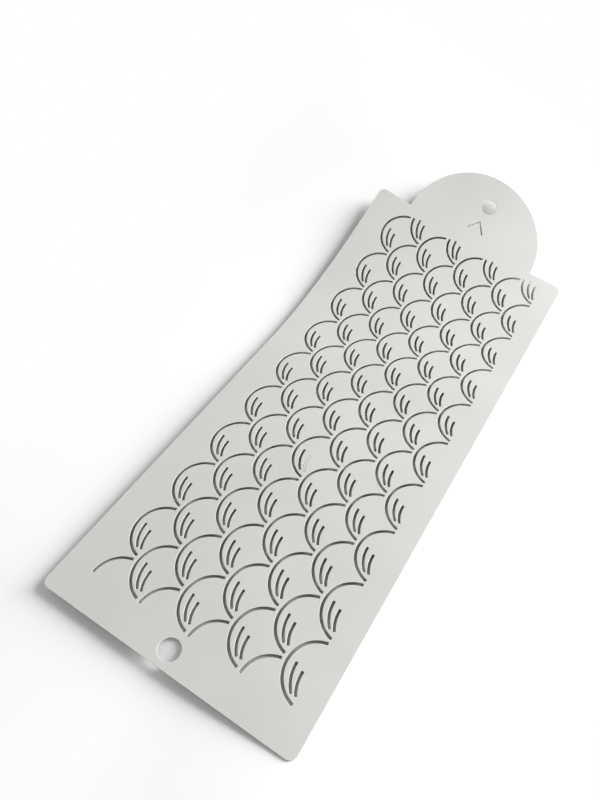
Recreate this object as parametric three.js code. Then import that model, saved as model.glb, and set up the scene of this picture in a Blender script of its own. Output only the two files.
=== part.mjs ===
// Flexible plastic craft stencil with a traditional scale pattern, lying on a table with its tab end curled up.
// The sheet is drawn flat, cut through with its slots and holes, and then bent about slanting fold lines.
// Flat drawing, in millimetres: x across the width, y up the length from the bottom edge, z through the sheet.

import * as THREE from 'three';

// Sheet blank
const sheetWidth = 103.4;
const bodyLength = 245.9;
const sheetThickness = 0.5;
const cornerRadius = 3;
const tabRadius = 34.6;
const tabCentreRise = 0.8;       // tab circle's centre above the body's top edge

// Round holes and the plain direction mark on the tab
const holeDiameter = 8;
const tabHoleFromTop = 15;       // hole centre below the tab's crown
const endHoleFromEdge = 6.3;     // hole centre above the bottom edge
const markFromTop = 26.5;        // middle of the chevron below the tab's crown
const markWidth = 8.6;
const markHeight = 5.6;
const markSlot = 0.8;

// Scale pattern: margins, lattice and the two widths of cut
const leftMargin = 12;           // left edge to the first column of arcs
const rightMargin = 8;           // least land kept at the right edge
const topMargin = 5.1;
const bottomMargin = 12;         // least land kept at the bottom edge
const columnStep = 10.5;
const rowPitch = 24;
const arcSlot = 1.1;
const hairSlot = 0.9;
const columnBridge = 1.1;        // land between an arc's end and the next column's arc
const rowBridge = 0.7;           // land between the ends of two arcs in a column

// The two hairs inside each scale, fanning up from its lower corner
const hairRadius = 12.4;
const hairTipStep = 3.2;         // hair tips step across from the arc's crown
const hairTipRise = 0.75;        // first tip above the middle of the scale
const hairTipDrop = 1.5;         // second tip below the first
const hairFootRise = 2.55;       // hair feet above the arc's lower end
const hairFootInset = 0.4;       // inner foot short of the arc's end
const hairLand = 0.65;           // land between the two feet

// The one slug that was left in its slot, and the width of the cut around it
const slugColumn = 3;
const slugRow = 12;              // half pitches below the pattern's top
const slugKerf = 0.15;

// Set of the sheet: flat up to a slanting line, and rolled up beyond it
const flatLineHeight = 172;      // where the flat line crosses the middle of the sheet
const flatLineSlant = THREE.MathUtils.degToRad(30.6);
const curlRadius = 134;

// Fineness of the facets
const facetAngle = THREE.MathUtils.degToRad(23);
const foldAngle = THREE.MathUtils.degToRad(8.5);
const holeSides = 20;
const tabSteps = 24;
const cornerSteps = 4;

const halfPitch = rowPitch / 2;
const arcEndX = columnStep - arcSlot / 2 - columnBridge;
const arcEndY = halfPitch - (arcSlot + rowBridge) / 2;
const arcRadius = (arcEndX ** 2 + arcEndY ** 2) / (2 * arcEndX);
const arcHalfSpan = Math.atan2(arcEndY, arcRadius - arcEndX);
const crownHeight = bodyLength + tabCentreRise + tabRadius;
const patternTop = bodyLength - topMargin;
const patternLeft = leftMargin - sheetWidth / 2;

// How many columns fit, and how many half pitches the pattern is tall
const columnCount = 1 + Math.floor((sheetWidth - leftMargin - rightMargin - arcEndX) / columnStep);
const rowCount = Math.floor((patternTop - bottomMargin) / halfPitch);

// Point on a circle, with the angle taken from the side facing -x and growing towards +y
function onArc(arc, radius, angle) {
  return new THREE.Vector2(arc.x - radius * Math.cos(angle), arc.y + radius * Math.sin(angle));
}

// Outline of a curved slot with square ends; trim shortens it at each end
function curvedSlot(arc, width, trim = 0) {
  const from = arc.from + trim / arc.radius;
  const to = arc.to - trim / arc.radius;
  const steps = Math.max(1, Math.ceil((arc.to - arc.from) / facetAngle - 0.01));
  const angles = Array.from({ length: steps + 1 }, (_, k) => from + ((to - from) * k) / steps);
  const outer = angles.map((angle) => onArc(arc, arc.radius + width / 2, angle));
  const inner = angles.map((angle) => onArc(arc, arc.radius - width / 2, angle));
  return [...outer, ...inner.reverse()];
}

// Circle of a given radius through a foot and a tip, on the side away from -x
function arcThrough(foot, tip, radius) {
  const middle = foot.clone().add(tip).multiplyScalar(0.5);
  const chord = tip.clone().sub(foot);
  const sag = Math.sqrt(Math.max(radius ** 2 - chord.lengthSq() / 4, 0));
  const x = middle.x + (sag * chord.y) / chord.length();
  const y = middle.y - (sag * chord.x) / chord.length();
  const angleOf = (point) => Math.atan2(point.y - y, x - point.x);
  return { x, y, radius, from: angleOf(foot), to: angleOf(tip) };
}

// Arc of one scale; the pattern's top and bottom rows keep only the half inside the pattern
function scaleArc(crown, row) {
  const from = row === rowCount ? 0 : -arcHalfSpan;
  const to = row === 0 ? 0 : arcHalfSpan;
  return { x: crown.x + arcRadius, y: crown.y, radius: arcRadius, from, to };
}

// Hair of one scale, 0 for the one beside the arc and 1 for the inner one
function scaleHair(crown, index) {
  const tipX = (index + 1) * hairTipStep;
  const tip = new THREE.Vector2(crown.x + tipX, crown.y + hairTipRise - index * hairTipDrop);
  const footX = arcEndX - hairFootInset - (1 - index) * (hairSlot + hairLand);
  const foot = new THREE.Vector2(crown.x + footX, crown.y - arcEndY + hairFootRise);
  return arcThrough(foot, tip, hairRadius);
}

// Crowns of all the scales: every other half pitch, with alternate columns half a row apart
function scaleCrowns() {
  const crowns = [];
  for (let column = 0; column < columnCount; column += 1) {
    for (let row = 1 - (column % 2); row <= rowCount; row += 2) {
      const x = patternLeft + column * columnStep;
      crowns.push({ column, row, x, y: patternTop - row * halfPitch });
    }
  }
  return crowns;
}

function patternSlots() {
  const slots = [];
  for (const crown of scaleCrowns()) {
    slots.push(curvedSlot(scaleArc(crown, crown.row), arcSlot));
    if (crown.row < rowCount) {
      slots.push(curvedSlot(scaleHair(crown, 0), hairSlot), curvedSlot(scaleHair(crown, 1), hairSlot));
    }
  }
  return slots;
}

function roundHole(y) {
  const corner = (k) => onArc({ x: 0, y }, holeDiameter / 2, ((k + 0.5) * 2 * Math.PI) / holeSides);
  return Array.from({ length: holeSides }, (_, k) => corner(k));
}

// Chevron slot of even width, pointing to the crown
function directionMark() {
  const y = crownHeight - markFromTop - markHeight / 2;
  const half = markWidth / 2;
  const drop = (markSlot * Math.hypot(half, markHeight)) / half;
  const upper = [[-half, y], [0, y + markHeight], [half, y]];
  const lower = [[half, y - drop], [0, y + markHeight - drop], [-half, y - drop]];
  return [...upper, ...lower].map(([px, py]) => new THREE.Vector2(px, py));
}

// Quarter circle of a corner, running from one direction to the next
function roundedCorner(x, y, startAngle) {
  const angles = Array.from({ length: cornerSteps + 1 }, (_, k) => startAngle + (k * Math.PI) / 2 / cornerSteps);
  const point = (a) => new THREE.Vector2(x + cornerRadius * Math.cos(a), y + cornerRadius * Math.sin(a));
  return angles.map(point);
}

// Anticlockwise edge of the blank: four rounded corners with the round tab on the top edge
function sheetOutline() {
  const sideX = sheetWidth / 2 - cornerRadius;
  const topY = bodyLength - cornerRadius;
  const tabStart = -Math.asin(tabCentreRise / tabRadius);
  const tabSpan = Math.PI - 2 * tabStart;
  const tab = Array.from({ length: tabSteps + 1 }, (_, k) => {
    const angle = tabStart + (tabSpan * k) / tabSteps;
    const y = bodyLength + tabCentreRise + tabRadius * Math.sin(angle);
    return new THREE.Vector2(tabRadius * Math.cos(angle), y);
  });
  return [
    ...roundedCorner(-sideX, cornerRadius, Math.PI),
    ...roundedCorner(sideX, cornerRadius, 1.5 * Math.PI),
    ...roundedCorner(sideX, topY, 0),
    ...tab,
    ...roundedCorner(-sideX, topY, 0.5 * Math.PI),
  ];
}

// A flat point in the bend's own axes: x along the flat line, y across it towards the curled corner
function inBendAxes(point) {
  return point.clone().sub(new THREE.Vector2(0, flatLineHeight)).rotateAround(new THREE.Vector2(), -flatLineSlant);
}

// Section of the sheet at a distance from the flat line: straight before it, a circle of the curl's radius after
function sectionPoint(distance) {
  const angle = Math.max(distance, 0) / curlRadius;
  const run = Math.min(distance, 0) + curlRadius * Math.sin(angle);
  return { distance, run, rise: curlRadius * (1 - Math.cos(angle)), angle };
}

// The section at the sheet's two farthest corners and at every fold line between them
function foldedSection(outline) {
  const reach = outline.map((point) => inBendAxes(point).y);
  const highest = Math.max(...reach);
  const folds = [Math.min(...reach), highest];
  for (let fold = 0; fold < highest - 0.5; fold += foldAngle * curlRadius) folds.push(fold);
  return folds.sort((a, b) => a - b).map(sectionPoint);
}

// Place of a flat point on the folded sheet: straight between the two fold lines beside it
function foldedPoint(flat, section) {
  const last = section.length - 1;
  const upper = section.findIndex((p) => p.distance >= flat.y);
  const k = upper < 0 ? last : Math.max(upper, 1);
  const [a, b] = [section[k - 1], section[k]];
  const share = (flat.y - a.distance) / (b.distance - a.distance);
  const depth = flat.z - sheetThickness / 2;
  const run = THREE.MathUtils.lerp(a.run - depth * Math.sin(a.angle), b.run - depth * Math.sin(b.angle), share);
  const rise = THREE.MathUtils.lerp(a.rise + depth * Math.cos(a.angle), b.rise + depth * Math.cos(b.angle), share);
  return new THREE.Vector3(flat.x, run, rise);
}

// Part of a triangle on one side of a fold line, as a fan of triangles
function clipTriangle(triangle, fold, side) {
  const kept = [];
  triangle.forEach((point, k) => {
    const next = triangle[(k + 1) % 3];
    if (side * (point.y - fold) >= 0) kept.push(point);
    if ((point.y - fold) * (next.y - fold) < 0) {
      const [low, high] = point.y < next.y ? [point, next] : [next, point];
      const cut = low.clone().lerp(high, (fold - low.y) / (high.y - low.y));
      kept.push(cut.setY(fold));
    }
  });
  return kept.slice(2).map((point, k) => [kept[0], kept[k + 1], point]);
}

function splitAtFold(triangles, fold) {
  return triangles.flatMap((triangle) => {
    const heights = triangle.map((point) => point.y - fold);
    const crosses = Math.min(...heights) < 0 && Math.max(...heights) > 0;
    return crosses ? [...clipTriangle(triangle, fold, 1), ...clipTriangle(triangle, fold, -1)] : [triangle];
  });
}

// Flat plate with holes, cut along every fold line and bent
function bentPlate(outline, holes, section) {
  const shape = new THREE.Shape(outline.map(inBendAxes));
  shape.holes = holes.map((points) => new THREE.Path(points.map(inBendAxes)));
  const flat = new THREE.ExtrudeGeometry(shape, { depth: sheetThickness, bevelEnabled: false });
  const corners = flat.getAttribute('position');
  const point = (k) => new THREE.Vector3().fromBufferAttribute(corners, k);
  let triangles = Array.from({ length: corners.count / 3 }, (_, k) => [3 * k, 3 * k + 1, 3 * k + 2].map(point));
  for (const fold of section.slice(1, -1)) triangles = splitAtFold(triangles, fold.distance);
  const bent = triangles.flat().map((corner) => foldedPoint(corner, section));
  const geometry = new THREE.BufferGeometry().setFromPoints(bent);
  geometry.computeVertexNormals();
  return geometry;
}

function stencilSheet(outline, section) {
  const holes = [roundHole(crownHeight - tabHoleFromTop), roundHole(endHoleFromEdge)];
  const geometry = bentPlate(outline, [...patternSlots(), ...holes, directionMark()], section);
  const plastic = new THREE.MeshStandardMaterial({ color: 0xd8d9d4, roughness: 0.45, metalness: 0 });
  const mesh = new THREE.Mesh(geometry, plastic);
  mesh.name = 'stencil_sheet';
  return mesh;
}

function slotSlug(section) {
  const crown = scaleCrowns().find((c) => c.column === slugColumn && c.row === slugRow);
  const outline = curvedSlot(scaleHair(crown, 1), hairSlot - 2 * slugKerf, slugKerf);
  const plastic = new THREE.MeshStandardMaterial({ color: 0xd4d5d0, roughness: 0.45, metalness: 0 });
  const mesh = new THREE.Mesh(bentPlate(outline, [], section), plastic);
  mesh.name = 'slot_slug';
  return mesh;
}

const outline = sheetOutline();
const section = foldedSection(outline);
const stencil = new THREE.Group();
stencil.add(stencilSheet(outline, section), slotSlug(section));

// Turn the bend's axes back to the sheet's, and lay its flat underside on z = 0 under the middle of its box
stencil.rotation.z = flatLineSlant;
const box = new THREE.Box3().setFromObject(stencil, true);
const middle = box.getCenter(new THREE.Vector3());
stencil.position.set(-middle.x, -middle.y, -box.min.z);

export default stencil;
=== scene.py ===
import bpy
import numpy as np
from mathutils import Matrix, Vector
from mathutils.geometry import delaunay_2d_cdt


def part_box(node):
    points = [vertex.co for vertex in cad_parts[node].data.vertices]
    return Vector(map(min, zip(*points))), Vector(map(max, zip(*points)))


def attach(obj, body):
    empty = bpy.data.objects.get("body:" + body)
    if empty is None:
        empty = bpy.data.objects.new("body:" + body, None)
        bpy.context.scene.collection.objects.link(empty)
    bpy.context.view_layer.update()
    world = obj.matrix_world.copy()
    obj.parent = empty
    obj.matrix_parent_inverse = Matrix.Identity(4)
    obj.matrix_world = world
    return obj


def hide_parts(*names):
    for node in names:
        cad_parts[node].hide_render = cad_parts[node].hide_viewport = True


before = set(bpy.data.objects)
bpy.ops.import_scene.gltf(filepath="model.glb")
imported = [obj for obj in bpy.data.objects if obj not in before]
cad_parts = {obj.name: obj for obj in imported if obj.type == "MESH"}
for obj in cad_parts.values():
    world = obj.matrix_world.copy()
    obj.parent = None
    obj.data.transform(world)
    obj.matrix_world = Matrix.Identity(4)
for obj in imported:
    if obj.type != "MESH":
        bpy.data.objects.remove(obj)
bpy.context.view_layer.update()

# Flexible plastic stencil with a scale pattern, lying on white backdrop paper with its tab end curled up.
# Flat sizes are in mm: x across the sheet, y up its length from the bottom edge.

mm = 0.001
print("frame loaded:", len(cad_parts), "nodes")

blank = {
    "width": 103.4, "body": 245.9, "thickness": 0.5,
    "corner": 3.0,
    "tabRadius": 34.6, "tabRise": 0.8,      # tab circle's centre above the body's top edge
    "hole": 8.0,
    "tabHole": 15.0, "endHole": 6.3,        # hole centres below the crown and above the bottom edge
    "edgeStep": 2.0, "cornerSteps": 10, "tabSteps": 80, "holeSteps": 48,
}
halfWidth, holeRadius = blank["width"] / 2, blank["hole"] / 2
tabCentre = blank["body"] + blank["tabRise"]
crown = tabCentre + blank["tabRadius"]
holeCentres = np.array([[0, crown - blank["tabHole"]], [0, blank["endHole"]]])


# Points on a circle of radius 1, anticlockwise from +x
def unitCircle(angle):
    return np.stack([np.cos(angle), np.sin(angle)], -1)


# A point on a circle: the angle starts at the side facing -x and grows towards +y
def onArc(centre, radius, angle):
    return np.stack([centre[..., 0] - radius * np.cos(angle), centre[..., 1] + radius * np.sin(angle)], -1)


# The points between two ends, at even steps no longer than the edge step
def straightRun(start, end):
    count = int(np.ceil(np.hypot(*(end - start)) / blank["edgeStep"]))
    return start + (end - start) * np.arange(1, count)[:, None] / count


# Edge of the blank, anticlockwise: quarter circles at the four corners, straight runs between them,
# and the tab's circle standing on the middle of the top edge
def blankLoop():
    inner = np.array([halfWidth - blank["corner"], blank["body"] / 2 - blank["corner"]])
    quarter = np.linspace(0, np.pi / 2, blank["cornerSteps"] + 1)

    def corner(signX, signY, start):
        centre = np.array([signX, signY]) * inner + (0, blank["body"] / 2)
        return centre + blank["corner"] * unitCircle(start + quarter)

    foot = -np.arcsin(blank["tabRise"] / blank["tabRadius"])
    angle = np.linspace(foot, np.pi - foot, blank["tabSteps"] + 1)
    tab = blank["tabRadius"] * unitCircle(angle) + (0, tabCentre)
    runs = [corner(-1, -1, np.pi), corner(1, -1, 1.5 * np.pi), corner(1, 1, 0), tab, corner(-1, 1, 0.5 * np.pi)]
    closed = runs + runs[:1]
    links = [straightRun(run[-1], closed[k + 1][0]) for k, run in enumerate(runs)]
    return np.vstack([part for pair in zip(runs, links) for part in pair])


scales = {
    "leftMargin": 12.0, "rightMargin": 8.0, "topMargin": 5.1, "bottomMargin": 12.0,
    "columnStep": 10.5, "rowPitch": 24.0,
    "arcSlot": 1.1, "hairSlot": 1.05,       # widths of cut
    "columnBridge": 1.1, "rowBridge": 0.7,  # lands at the arcs' ends
    "hairRadius": 12.4,
    "hairTipStep": 3.2, "hairTipRise": 0.75, "hairTipDrop": 1.5,
    "hairFootRise": 2.55, "hairFootInset": 0.4, "hairLand": 0.65,
    "endCorner": 0.2,                       # the cutter's radius in a slot's square ends
    "arcSteps": 24, "hairSteps": 9, "cornerSteps": 3,
}
halfPitch = scales["rowPitch"] / 2
arcEnd = np.array([scales["columnStep"] - scales["arcSlot"] / 2 - scales["columnBridge"],
                   halfPitch - (scales["arcSlot"] + scales["rowBridge"]) / 2])
arcRadius = (arcEnd ** 2).sum() / (2 * arcEnd[0])
arcHalfSpan = np.arctan2(arcEnd[1], arcRadius - arcEnd[0])


# Crowns of the scales: every other half pitch down a column, with alternate columns half a row apart
def scaleCrowns():
    patternTop = blank["body"] - scales["topMargin"]
    room = blank["width"] - scales["leftMargin"] - scales["rightMargin"] - arcEnd[0]
    columns = 1 + int(room // scales["columnStep"])
    rows = int((patternTop - scales["bottomMargin"]) // halfPitch)
    column, row = (index.ravel() for index in np.meshgrid(np.arange(columns), np.arange(rows + 1)))
    column, row = (index[(column + row) % 2 == 1] for index in (column, row))
    x = scales["leftMargin"] - halfWidth + column * scales["columnStep"]
    return column, row, rows, np.stack([x, patternTop - row * halfPitch], -1)


# Curved slots, each a rectangle with rounded corners laid along an arc: the place along the slot is
# the angle on the arc, the place across it is added to the radius, and the outline is a core
# rectangle pushed out by the corner radius
def slotLoops(centre, radius, start, end, width, steps):
    corner, quarter = scales["endCorner"], np.pi / 2
    turn = np.linspace(0, quarter, scales["cornerSteps"] + 1)
    share = np.arange(1, steps) / steps
    bow, run = np.ones(turn.size), np.ones(share.size)
    along = np.concatenate([share, bow, bow, share[::-1], 0 * bow, 0 * bow])
    side = np.concatenate([-run, -bow, bow, run, bow, -bow])
    push = np.concatenate([-quarter * run, turn - quarter, turn,
                           quarter * run, turn + quarter, turn + 2 * quarter])
    length = (radius * (end - start))[:, None]
    travel = corner + along * (length - 2 * corner) + corner * np.cos(push)
    across = side * (width / 2 - corner) + corner * np.sin(push)
    return onArc(centre[:, None], radius[:, None] + across, start[:, None] + travel / radius[:, None])


# Hairs: the circle of the hair radius through a foot and a tip, on the side away from -x
def hairArcs(crowns, index):
    tip = crowns + np.stack([(index + 1) * scales["hairTipStep"],
                             scales["hairTipRise"] - index * scales["hairTipDrop"]], -1)
    footX = arcEnd[0] - scales["hairFootInset"] - (1 - index) * (scales["hairSlot"] + scales["hairLand"])
    foot = crowns + np.stack([footX, np.full(index.shape, scales["hairFootRise"] - arcEnd[1])], -1)
    chord = tip - foot
    length = np.hypot(chord[:, 0], chord[:, 1])
    toCentre = np.sqrt(scales["hairRadius"] ** 2 - length ** 2 / 4)
    centre = (foot + tip) / 2 + (toCentre / length)[:, None] * np.stack([chord[:, 1], -chord[:, 0]], -1)
    angles = [np.arctan2(end[:, 1] - centre[:, 1], centre[:, 0] - end[:, 0]) for end in (foot, tip)]
    return centre, np.full(length.shape, scales["hairRadius"]), *angles


column, row, lastRow, crowns = scaleCrowns()
arcs = (crowns + (arcRadius, 0), np.full(len(crowns), arcRadius),
        np.where(row == lastRow, 0.0, -arcHalfSpan), np.where(row == 0, 0.0, arcHalfSpan))
haired = np.repeat(np.flatnonzero(row < lastRow), 2)
hairIndex = np.tile([0, 1], haired.size // 2)
hairs = hairArcs(crowns[haired], hairIndex)
print("pattern drawn:", len(crowns), "arcs,", haired.size, "hairs")

mark = {"fromTop": 26.5, "width": 8.6, "height": 5.6, "slot": 0.8}      # plain chevron on the tab


# Chevron of even width pointing to the crown, anticlockwise
def markLoop():
    half, rise = mark["width"] / 2, mark["height"]
    drop = mark["slot"] * np.hypot(half, rise) / half
    foot = crown - mark["fromTop"] - rise / 2
    upper = np.array([[half, foot], [0, foot + rise], [-half, foot]])
    return np.vstack([upper, upper[::-1] - (0, drop)])


# Round holes as even rings of points, anticlockwise
def holeLoops():
    angle = np.arange(blank["holeSteps"]) * 2 * np.pi / blank["holeSteps"]
    return holeRadius * unitCircle(angle) + holeCentres[:, None]


bend = {
    "flatLine": 172.0, "slant": 30.6,       # flat line's height on the sheet's middle, and its slant in degrees
    "curl": 134.0,                          # radius of the curl beyond the flat line
}
slant = np.radians(bend["slant"])
alongLine = np.array([np.cos(slant), np.sin(slant), 0])
acrossLine = np.array([-np.sin(slant), np.cos(slant), 0])
upward = np.array([0, 0, 1])


# Flat points from columns of distances along and across the flat line
def flatPoints(along, across):
    return along * alongLine[:2] + across * acrossLine[:2] + (0, bend["flatLine"])


# A flat point and a direction carried onto the bent sheet: flat up to the slanting flat line, and beyond it
# rolled on a cylinder, whose angle is the distance from the line over the radius; the depth is laid along
# the normal
def bentPoints(flat, depth, direction):
    moved = flat - (0, bend["flatLine"])
    along, across = moved @ alongLine[:2], moved @ acrossLine[:2]
    slope = np.maximum(across, 0)[:, None] / bend["curl"]
    tangent = np.cos(slope) * acrossLine + np.sin(slope) * upward
    normal = np.cos(slope) * upward - np.sin(slope) * acrossLine
    run = np.minimum(across, 0)[:, None] + bend["curl"] * np.sin(slope)
    middle = along[:, None] * alongLine + run * acrossLine + bend["curl"] * (1 - np.cos(slope)) * upward
    carried = ((direction[:, :2] @ alongLine[:2])[:, None] * alongLine
               + (direction[:, :2] @ acrossLine[:2])[:, None] * tangent + direction[:, 2:] * normal)
    return middle + np.reshape(depth, (-1, 1)) * normal, carried


rim = {  # section of a cut edge, from the top face to the bottom one
    "inset": np.array([0.20, 0.11, 0.035, 0.0, 0.0, 0.06]),     # into the sheet from the cut wall
    "below": np.array([0.0, -0.012, 0.01, 0.075, 0.44, 0.5]),   # under the top face, with a low melted lip
}


# A closed anticlockwise loop moved out by a distance along the mitre of its two edges at each point;
# gives the moved loop and the outward direction
def grownLoops(loops, distance):
    edge = np.roll(loops, -1, 1) - loops
    edge = edge / np.linalg.norm(edge, axis=2, keepdims=True)
    outward = np.stack([edge[..., 1], -edge[..., 0]], -1)
    before = np.roll(outward, 1, 1)
    mitre = (outward + before) / (1 + (outward * before).sum(2, keepdims=True))
    return loops + distance * mitre, mitre / np.linalg.norm(mitre, axis=2, keepdims=True)


# Plate cut through by groups of loops: the rim's section is carried round every loop, and the two faces are
# triangulated between the innermost rings and the free points. The first group is the plate's own edge.
def cutPlate(name, groups, free, rimShare=1.0):
    sizes = [len(group) * group.shape[1] for group in groups]
    starts = np.cumsum([0] + sizes)
    indices = [start + np.arange(size).reshape(group.shape[:2])
               for start, size, group in zip(starts, sizes, groups)]
    ring = np.concatenate([index.ravel() for index in indices])
    ringNext = np.concatenate([np.roll(index, -1, 1).ravel() for index in indices])
    intoSheet = [-1] + [1] * (len(groups) - 1)
    total = starts[-1]

    insets = rimShare * rim["inset"]
    rise = np.gradient(-rim["below"])
    run = np.gradient(insets)
    steep = np.stack([run, rise], -1) / np.hypot(run, rise)[:, None]
    outTo, upTo = steep[:, 1], -steep[:, 0]         # the section's normal, towards the opening and upwards
    outTo[[0, -1]], upTo[[0, -1]] = 0, (1, -1)      # the two faces stay flat up to the rim

    flat, depth, direction = [], [], []
    for k, inset in enumerate(insets):
        grown = [grownLoops(group, sign * inset) for group, sign in zip(groups, intoSheet)]
        flat.append(np.vstack([loops.reshape(-1, 2) for loops, _ in grown]))
        opening = np.vstack([-sign * out.reshape(-1, 2) for (_, out), sign in zip(grown, intoSheet)])
        depth.append(np.full(total, blank["thickness"] / 2 - rim["below"][k]))
        direction.append(np.column_stack([-outTo[k] * opening, np.full(total, upTo[k])]))
    top = np.vstack([flat[0], free])
    for side in (1, -1):
        flat.append(free)
        depth.append(np.full(len(free), side * blank["thickness"] / 2))
        direction.append(np.tile([0, 0, side], (len(free), 1)))

    faces = [line for index in indices for line in index.tolist()]
    insideOnly, tolerance = 1, 1e-5                 # what is triangulated, and how near points are one, in mm
    _, _, triangles, origin, _, owners = delaunay_2d_cdt(
        [Vector(point) for point in top], [], faces, insideOnly, tolerance, True)
    solid = np.array([len(owner) == 1 for owner in owners])             # inside the edge and in no slot
    first = np.array([source[0] for source in origin])
    cap = first[np.array(triangles)[solid]]
    lastRing = (len(insets) - 1) * total
    topCap = np.where(cap < total, cap, cap + lastRing)
    bottomCap = np.where(cap < total, cap + lastRing, cap + lastRing + len(free))[:, ::-1]
    forward = np.concatenate([np.full(size, sign == -1) for size, sign in zip(sizes, intoSheet)])
    a, b = np.where(forward, ring, ringNext), np.where(forward, ringNext, ring)
    level = np.arange(len(insets) - 1)[:, None] * total
    wall = np.stack([level + a, level + total + a, level + total + b, level + b], -1).reshape(-1, 4)

    points, normals = bentPoints(np.vstack(flat), np.concatenate(depth), np.vstack(direction))
    corners = np.concatenate([topCap.ravel(), bottomCap.ravel(), wall.ravel()])
    sides = np.concatenate([np.full(2 * len(cap), 3), np.full(len(wall), 4)])
    return {"name": name, "points": points, "normals": normals, "corners": corners, "sides": sides,
            "cutWall": sides == 4}


# Puts a plate's arrays into a mesh, in metres, with the normals of the true surface
def plateObject(plate, place, materials):
    mesh = bpy.data.meshes.new(plate["name"])
    mesh.vertices.add(len(plate["points"]))
    mesh.vertices.foreach_set("co", ((plate["points"] + place) * mm).ravel())
    mesh.loops.add(len(plate["corners"]))
    mesh.loops.foreach_set("vertex_index", plate["corners"].astype(np.int32))
    mesh.polygons.add(len(plate["sides"]))
    starts = np.cumsum(np.concatenate([[0], plate["sides"][:-1]]))
    mesh.polygons.foreach_set("loop_start", starts.astype(np.int32))
    mesh.polygons.foreach_set("material_index", plate["cutWall"].astype(np.int32))
    mesh.polygons.foreach_set("use_smooth", np.ones(len(plate["sides"]), bool))
    mesh.update(calc_edges=True)
    mesh.validate()
    mesh.normals_split_custom_set_from_vertices(plate["normals"])
    for material in materials:
        mesh.materials.append(material)
    piece = bpy.data.objects.new(plate["name"], mesh)
    bpy.context.scene.collection.objects.link(piece)
    return piece


freeGrid = {"step": 3.0, "reach": 200.0, "margin": 0.9}     # spacing and extent in mm, and the room round cuts


# Free points on a grid that follows the bend, kept where they are clear of the edge, slots, holes and mark
def freePoints(slots, holes):
    step, margin = freeGrid["step"], freeGrid["margin"]
    reach = np.arange(-freeGrid["reach"], freeGrid["reach"], step)
    along, across = (axis.reshape(-1, 1) for axis in np.meshgrid(reach, reach))
    along = along + np.where(np.round(across / step) % 2 == 0, 0, step / 2)
    flat = flatPoints(along, across)
    x, y = flat.T
    body = (np.abs(x) < halfWidth - margin) & (y > margin) & (y < blank["body"] - margin)
    tabTop = np.hypot(x, y - tabCentre) < blank["tabRadius"] - margin
    fromEnd = np.minimum(y, np.abs(y - blank["body"]))
    corner = np.hypot(np.abs(x) - halfWidth, fromEnd) < blank["corner"]
    flat = flat[(body & ~corner) | (tabTop & (y > blank["body"] - 2 * margin))]
    for centre, radius, start, end, width in slots:
        offset = flat[:, None] - centre
        far = np.abs(np.hypot(offset[..., 0], offset[..., 1]) - radius) - width / 2
        angle = np.arctan2(offset[..., 1], -offset[..., 0])
        spare = margin / radius
        flat = flat[~((far < margin) & (angle > start - spare) & (angle < end + spare)).any(1)]
    for centre, radius in holes:
        flat = flat[np.hypot(*(flat - centre).T) > radius + margin]
    return flat


arcLoops = slotLoops(*arcs, scales["arcSlot"], scales["arcSteps"])
hairLoops = slotLoops(*hairs, scales["hairSlot"], scales["hairSteps"])
free = freePoints(
    [(*arcs, scales["arcSlot"]), (*hairs, scales["hairSlot"])],
    [(centre, holeRadius) for centre in holeCentres] + [((0, crown - mark["fromTop"]), mark["width"] / 2)])
sheetPlate = cutPlate("sheet", [blankLoop()[None], arcLoops, hairLoops, holeLoops(), markLoop()[None]], free)
low, high = sheetPlate["points"].min(0), sheetPlate["points"].max(0)
cadLow, cadHigh = (np.array(corner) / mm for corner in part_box("stencil_sheet"))
place = np.append((cadLow + cadHigh - low - high)[:2] / 2, cadLow[2] - low[2])

slug = {
    "column": 3, "row": 12, "hair": 1,      # the one cut-out still held in its slot
    "kerf": 0.15, "rimShare": 0.6,          # gap all round it, and how much of the rim's inset it has
}
chosen = (column[haired] == slug["column"]) & (row[haired] == slug["row"]) & (hairIndex == slug["hair"])
centre, radius, start, end = (values[chosen] for values in hairs)
trim = slug["kerf"] / radius
slugWidth = scales["hairSlot"] - 2 * slug["kerf"]
slugLoop = slotLoops(centre, radius, start + trim, end - trim, slugWidth, scales["hairSteps"])
slugPlate = cutPlate("slug", [slugLoop], np.empty((0, 2)), slug["rimShare"])


# sRGB hex code to a linear colour
def linearColour(code):
    value = np.array([int(code[k:k + 2], 16) for k in (0, 2, 4)]) / 255
    return (*np.where(value > 0.04045, ((value + 0.055) / 1.055) ** 2.4, value / 12.92), 1)


# Adds a node with its settings; an input is a value or another node's output
def addNode(tree, kind, inputs=None, **settings):
    node = tree.nodes.new(kind)
    for key, value in settings.items():
        setattr(node, key, value)
    for socket, value in (inputs or {}).items():
        if isinstance(value, bpy.types.NodeSocket):
            tree.links.new(value, node.inputs[socket])
        else:
            node.inputs[socket].default_value = value
    return node


def newMaterial(name):
    material = bpy.data.materials.new(name)
    material.use_nodes = True
    material.node_tree.nodes.clear()
    return material, material.node_tree


# Noise whose blotches have the given size in mm
def blotches(tree, spot, size, detail):
    noise = addNode(tree, "ShaderNodeTexNoise", {"Vector": spot, "Scale": 1 / (size * mm), "Detail": detail})
    return noise.outputs["Fac"]


# Two tones that turn into each other over a band of the noise's values
def twoTones(tree, noise, band, codes):
    tone = addNode(tree, "ShaderNodeValToRGB", {"Fac": noise})
    for stop, position, code in zip(tone.color_ramp.elements, band, codes):
        stop.position, stop.color = position, linearColour(code)
    return tone.outputs["Color"]


# One range of values turned into another
def ranged(tree, value, source, target=(0.0, 1.0), ease="LINEAR"):
    node = addNode(tree, "ShaderNodeMapRange", {
        "Value": value, "From Min": source[0], "From Max": source[1],
        "To Min": target[0], "To Max": target[1]}, interpolation_type=ease)
    return node.outputs["Result"]


def mixShaders(tree, share, first, second):
    return addNode(tree, "ShaderNodeMixShader", {0: share, 1: first, 2: second}).outputs["Shader"]


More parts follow.
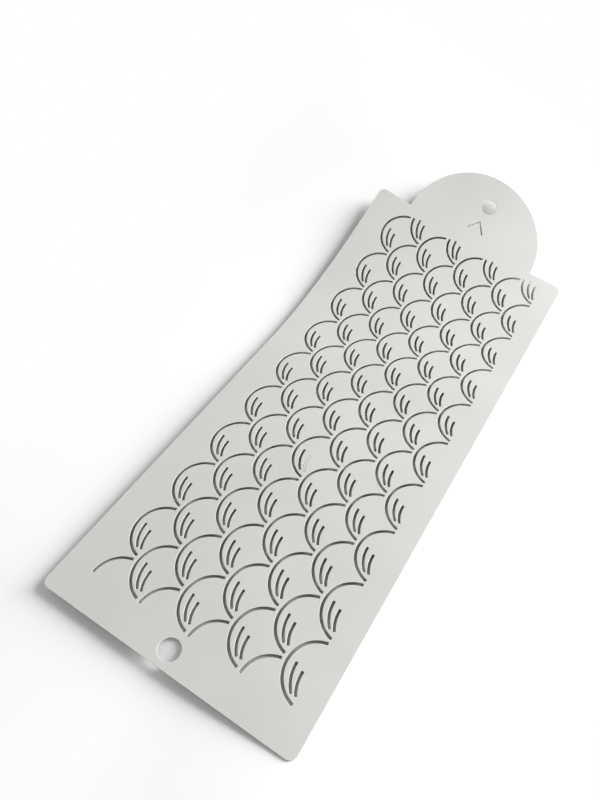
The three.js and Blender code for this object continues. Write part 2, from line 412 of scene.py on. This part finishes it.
# 1 for the rays that show a thing straight on, in a reflection or through a clear body
def seenRays(tree, path):
    seen = path["Is Camera Ray"]
    for kind in ("Is Glossy Ray", "Is Transmission Ray"):
        seen = addNode(tree, "ShaderNodeMath", {0: seen, 1: path[kind]}, operation="MAXIMUM").outputs[0]
    return seen


satin = {
    "tone": "DDDDD9", "deepTone": "D7D8D4",
    "roughness": (0.36, 0.50), "ior": 1.57,
    "cloud": 45.0, "cloudDetail": 2.0, "cloudBand": (0.35, 0.65),       # mm, and the noise values it turns over
    "grain": 0.45, "grainDetail": 2.0, "grainHeight": 0.004, "grainStrength": 0.35,
    "scuffWidth": 0.5, "scuffLength": 30.0,         # mm, drawn coarser than real hairlines so that they show
    "scuffDetail": 3.0, "scuffBand": (0.35, 0.65),
}


# PET sheet, calendered with a satin face: an even pale grey with a soft broad sheen, a very fine grain
# and faint lengthwise rubs that change the gloss more than the colour
def satinPet():
    material, tree = newMaterial("satin PET sheet")
    spot = addNode(tree, "ShaderNodeTexCoord").outputs["Object"]
    cloud = blotches(tree, spot, satin["cloud"], satin["cloudDetail"])
    tone = twoTones(tree, cloud, satin["cloudBand"], (satin["deepTone"], satin["tone"]))
    perWidth, perLength = 1 / (satin["scuffWidth"] * mm), 1 / (satin["scuffLength"] * mm)
    stretched = addNode(tree, "ShaderNodeMapping", {"Vector": spot, "Scale": (perWidth, perLength, perLength)})
    scuff = addNode(tree, "ShaderNodeTexNoise", {
        "Vector": stretched.outputs["Vector"], "Scale": 1.0, "Detail": satin["scuffDetail"]})
    gloss = ranged(tree, scuff.outputs["Fac"], satin["scuffBand"], satin["roughness"])
    bump = addNode(tree, "ShaderNodeBump", {
        "Height": blotches(tree, spot, satin["grain"], satin["grainDetail"]),
        "Strength": satin["grainStrength"], "Distance": satin["grainHeight"] * mm})
    shader = addNode(tree, "ShaderNodeBsdfPrincipled", {
        "Base Color": tone, "Roughness": gloss, "IOR": satin["ior"], "Normal": bump.outputs["Normal"]})
    addNode(tree, "ShaderNodeOutputMaterial", {"Surface": shader.outputs["BSDF"]})
    return material


# The wall tone is whiter than the faces as a painted highlight: the light seen along the cut edges is painted
# into their colour.
cut = {
    "tone": "EEEFEB", "dusk": "E4E5E0", "roughness": 0.3,
    "speck": 0.4, "speckDetail": 1.0, "speckBand": (0.3, 0.7),       # mm, and the noise values it turns over
}


# PET cut through by a hot beam: a smooth melted wall whose tone, whiter than the faces, is a painted highlight
# of the light seen at the cut edges, with fine paler and duller spots
def cutPetPaintedHighlight():
    material, tree = newMaterial("laser cut PET edge")
    spot = addNode(tree, "ShaderNodeTexCoord").outputs["Object"]
    speck = blotches(tree, spot, cut["speck"], cut["speckDetail"])
    tone = twoTones(tree, speck, cut["speckBand"], (cut["dusk"], cut["tone"]))
    shader = addNode(tree, "ShaderNodeBsdfPrincipled", {
        "Base Color": tone, "Roughness": cut["roughness"], "IOR": satin["ior"]})
    addNode(tree, "ShaderNodeOutputMaterial", {"Surface": shader.outputs["BSDF"]})
    return material


facePlastic, edgePlasticPaintedHighlight = satinPet(), cutPetPaintedHighlight()
sheet = plateObject(sheetPlate, place, [facePlastic, edgePlasticPaintedHighlight])
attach(sheet, "root")
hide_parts("stencil_sheet")
slugPiece = plateObject(slugPlate, place, [facePlastic, edgePlasticPaintedHighlight])
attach(slugPiece, "root")
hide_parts("slot_slug")
print("sheet made:", len(sheetPlate["corners"]) - 2 * len(sheetPlate["sides"]), "triangles")

paper = {
    "rightGap": 0.15, "leftGap": 0.6,       # mm under the sheet's two sides
    "sink": 0.02,                           # more gap for each mm up the flat part
    "sag": 3.3, "sagBand": 13.0,            # mm more at the bottom and left edges, from this far inside them
    "sagTop": 170.0, "topFade": 110.0,      # height where the sag has gone, and the length that it fades over
    "sagRight": 58.0, "rightFade": 60.0,    # the same across the sheet
    "curl": 155.0, "turn": 42.0,            # radius in mm, and how far it turns up, in degrees
    "reach": 2500.0, "near": 300.0,         # mm either way, and the part of it with close points
    "points": {"far": 12, "along": 200, "flat": 100, "curl": 60, "straight": 20},
    # The first value is painted shade: a grey painted on the paper under the sheet, standing in for the sheet's
    # shadow.
    "paintedShade": 0.42, "white": 1.2,           # as seen under the sheet and beside it
    "shadeEdge": (-12.0, -3.0),             # where the one turns into the other, in mm outside the sheet's body
    "farEdge": (20.0, 90.0),                # where it turns into plain white
    "bottomShift": 5.0, "topShift": 3.0,    # mm that the body's two ends are moved up for this
    "topSteep": 2.4,                        # how much quicker it turns at the top
    "bounce": "C8C8C6",
}
plainWhite = 1.0                            # strength that is seen as white


# White backdrop paper: white where it is seen, straight on or in a reflection, but painted a darker grey under
# the sheet as painted shade of the sheet's shadow, and a light grey to the light that bounces, so that the
# slots stay dark; far out it is plain white. It has only a front, so it never hides the sheet
def whitePaper():
    material, tree = newMaterial("white backdrop paper")
    path = addNode(tree, "ShaderNodeLightPath").outputs
    outside = addNode(tree, "ShaderNodeAttribute", attribute_name="outside").outputs["Fac"]
    # Painted shade: the paper's colour falls to a grey under the sheet, standing in for the sheet's shadow on
    # it
    level = ranged(tree, outside, paper["shadeEdge"], (paper["paintedShade"], paper["white"]), "SMOOTHSTEP")
    near = addNode(tree, "ShaderNodeBsdfDiffuse", {"Color": level}).outputs["BSDF"]
    far = addNode(tree, "ShaderNodeEmission", {"Strength": plainWhite}).outputs["Emission"]
    white = mixShaders(tree, ranged(tree, outside, paper["farEdge"], ease="SMOOTHSTEP"), near, far)
    dull = addNode(tree, "ShaderNodeBsdfDiffuse", {"Color": linearColour(paper["bounce"])}).outputs["BSDF"]
    front = mixShaders(tree, seenRays(tree, path), dull, white)
    rear = addNode(tree, "ShaderNodeNewGeometry").outputs["Backfacing"]
    rear = addNode(tree, "ShaderNodeMath", {0: rear, 1: path["Is Camera Ray"]}, operation="MULTIPLY").outputs[0]
    clear = addNode(tree, "ShaderNodeBsdfTransparent").outputs["BSDF"]
    addNode(tree, "ShaderNodeOutputMaterial", {"Surface": mixShaders(tree, rear, front, clear)})
    return material


# Eases from 0 to 1 with level ends: three times the square less twice the cube
def smooth(share):
    share = np.clip(share, 0, 1)
    return share * share * (3 - 2 * share)


# Backdrop that the sheet lies on, flat and then turning up with the curl on a larger circle, and straight after
# that. The gap below the sheet widens evenly from the right side to the left and up the flat part, and eases
# into a sag at the bottom and left edges. Each point keeps how far it is outside the sheet's body, which places
# the paper's painted shade.
def backdrop():
    reach, near, count = paper["reach"], paper["near"], paper["points"]
    last = np.radians(paper["turn"])
    turned = paper["curl"] * last
    before = np.linspace(-reach, -near, count["far"])
    along = np.concatenate([before, np.linspace(-near, near, count["along"])[1:-1], -before[::-1]])
    across = np.concatenate([
        before, np.linspace(-near, 0, count["flat"])[1:], np.linspace(0, turned, count["curl"])[1:],
        turned + np.linspace(0, near, count["straight"])[1:]])
    index = np.arange(across.size * along.size).reshape(across.size, along.size)
    faces = np.stack([index[:-1, :-1], index[:-1, 1:], index[1:, 1:], index[1:, :-1]], -1).reshape(-1, 4)
    along, across = (axis.reshape(-1, 1) for axis in np.meshgrid(along, across))

    x, y = (axis[:, None] for axis in flatPoints(along, across).T)
    slope = np.clip(across / paper["curl"], 0, last)
    straight = np.maximum(across - turned, 0)
    run = np.minimum(across, 0) + paper["curl"] * np.sin(slope) + straight * np.cos(slope)
    rise = paper["curl"] * (1 - np.cos(slope)) + straight * np.sin(slope)
    gap = paper["rightGap"] + (paper["leftGap"] - paper["rightGap"]) * (0.5 - x / blank["width"])
    gap = gap + paper["sink"] * np.clip(y, 0, bend["flatLine"])
    sag = np.maximum(-x - halfWidth, -y) / paper["sagBand"] + 1
    fade = np.minimum((paper["sagTop"] - y) / paper["topFade"], (paper["sagRight"] - x) / paper["rightFade"])
    gap = gap + paper["sag"] * smooth(sag) * smooth(fade)
    points = along * alongLine + run * acrossLine + (rise - blank["thickness"] / 2 - gap) * upward

    # How far outside the sheet's body, with both ends moved up, sets where the painted shade under the sheet
    # turns into white
    beyondTop = y - blank["body"] - paper["topShift"]
    outside = np.maximum(np.abs(x) - halfWidth, paper["bottomShift"] - y)
    outside = np.maximum(outside, np.where(beyondTop < 0, paper["topSteep"], 1) * beyondTop)

    mesh = bpy.data.meshes.new("backdrop")
    mesh.from_pydata(((points + place) * mm).tolist(), [], faces.tolist())
    mesh.shade_smooth()
    kept = mesh.attributes.new("outside", "FLOAT", "POINT")
    kept.data.foreach_set("value", outside.ravel().astype(np.float32))
    mesh.materials.append(whitePaper())
    piece = bpy.data.objects.new("backdrop", mesh)
    bpy.context.scene.collection.objects.link(piece)


backdrop()
print("backdrop laid")

studio = {
    "fill": 0.32,                           # the room's light, where 1 is white
    "key": {"from": (682, 533, 500), "at": (0, 0, 0), "size": (450, 900), "level": 0.74},     # mm
}


# World of even light, which is seen as white
def evenWorld():
    world = bpy.data.worlds.new("studio")
    bpy.context.scene.world = world
    world.use_nodes = True
    tree = world.node_tree
    tree.nodes.clear()
    path = addNode(tree, "ShaderNodeLightPath").outputs
    room, white = (
        addNode(tree, "ShaderNodeBackground", {"Color": (1, 1, 1, 1), "Strength": strength}).outputs[0]
        for strength in (studio["fill"], plainWhite))
    addNode(tree, "ShaderNodeOutputWorld", {"Surface": mixShaders(tree, seenRays(tree, path), room, white)})


# Softbox whose light on a level surface at its target is the level times that of a white room: the light
# received is the power over pi, times the surface's cosine over the distance squared, and a white room gives pi
def softbox(name, lamp):
    data = bpy.data.lights.new(name, "AREA")
    data.shape = "RECTANGLE"
    data.size, data.size_y = (side * mm for side in lamp["size"])
    start, target = (Vector(lamp[key]) * mm for key in ("from", "at"))
    ray = start - target
    cosine = ray.z / ray.length
    data.energy = lamp["level"] * np.pi ** 2 * ray.length ** 2 / cosine
    piece = bpy.data.objects.new(name, data)
    piece.matrix_world = Matrix.Translation(start) @ ray.to_track_quat("Z", "Y").to_matrix().to_4x4()
    bpy.context.scene.collection.objects.link(piece)


evenWorld()
softbox("key", studio["key"])
print("light set")

shot = {
    "from": (68.88, -32.71, 214.97),        # mm, from the middle of the flat sheet's bottom edge
    "back": (0.32208, -0.54441, 0.77452), "up": (-0.42607, 0.64723, 0.63211),
    "lens": 38.73, "sensor": 36.0, "nearest": 10.0,     # mm
}
view = bpy.data.cameras.new("view")
view.sensor_fit = "HORIZONTAL"
view.sensor_width, view.lens = shot["sensor"], shot["lens"]
view.clip_start = shot["nearest"] * mm
camera = bpy.data.objects.new("view", view)
eye = np.array(shot["from"]) - (0, bend["flatLine"], 0) + place
back, up = Vector(shot["back"]), Vector(shot["up"])
right = up.cross(back).normalized()
turn = Matrix((right, back.cross(right), back)).transposed()
camera.matrix_world = Matrix.Translation(Vector(eye) * mm) @ turn.to_4x4()
bpy.context.scene.collection.objects.link(camera)
bpy.context.scene.camera = camera
bpy.context.scene.view_settings.view_transform = "Standard"
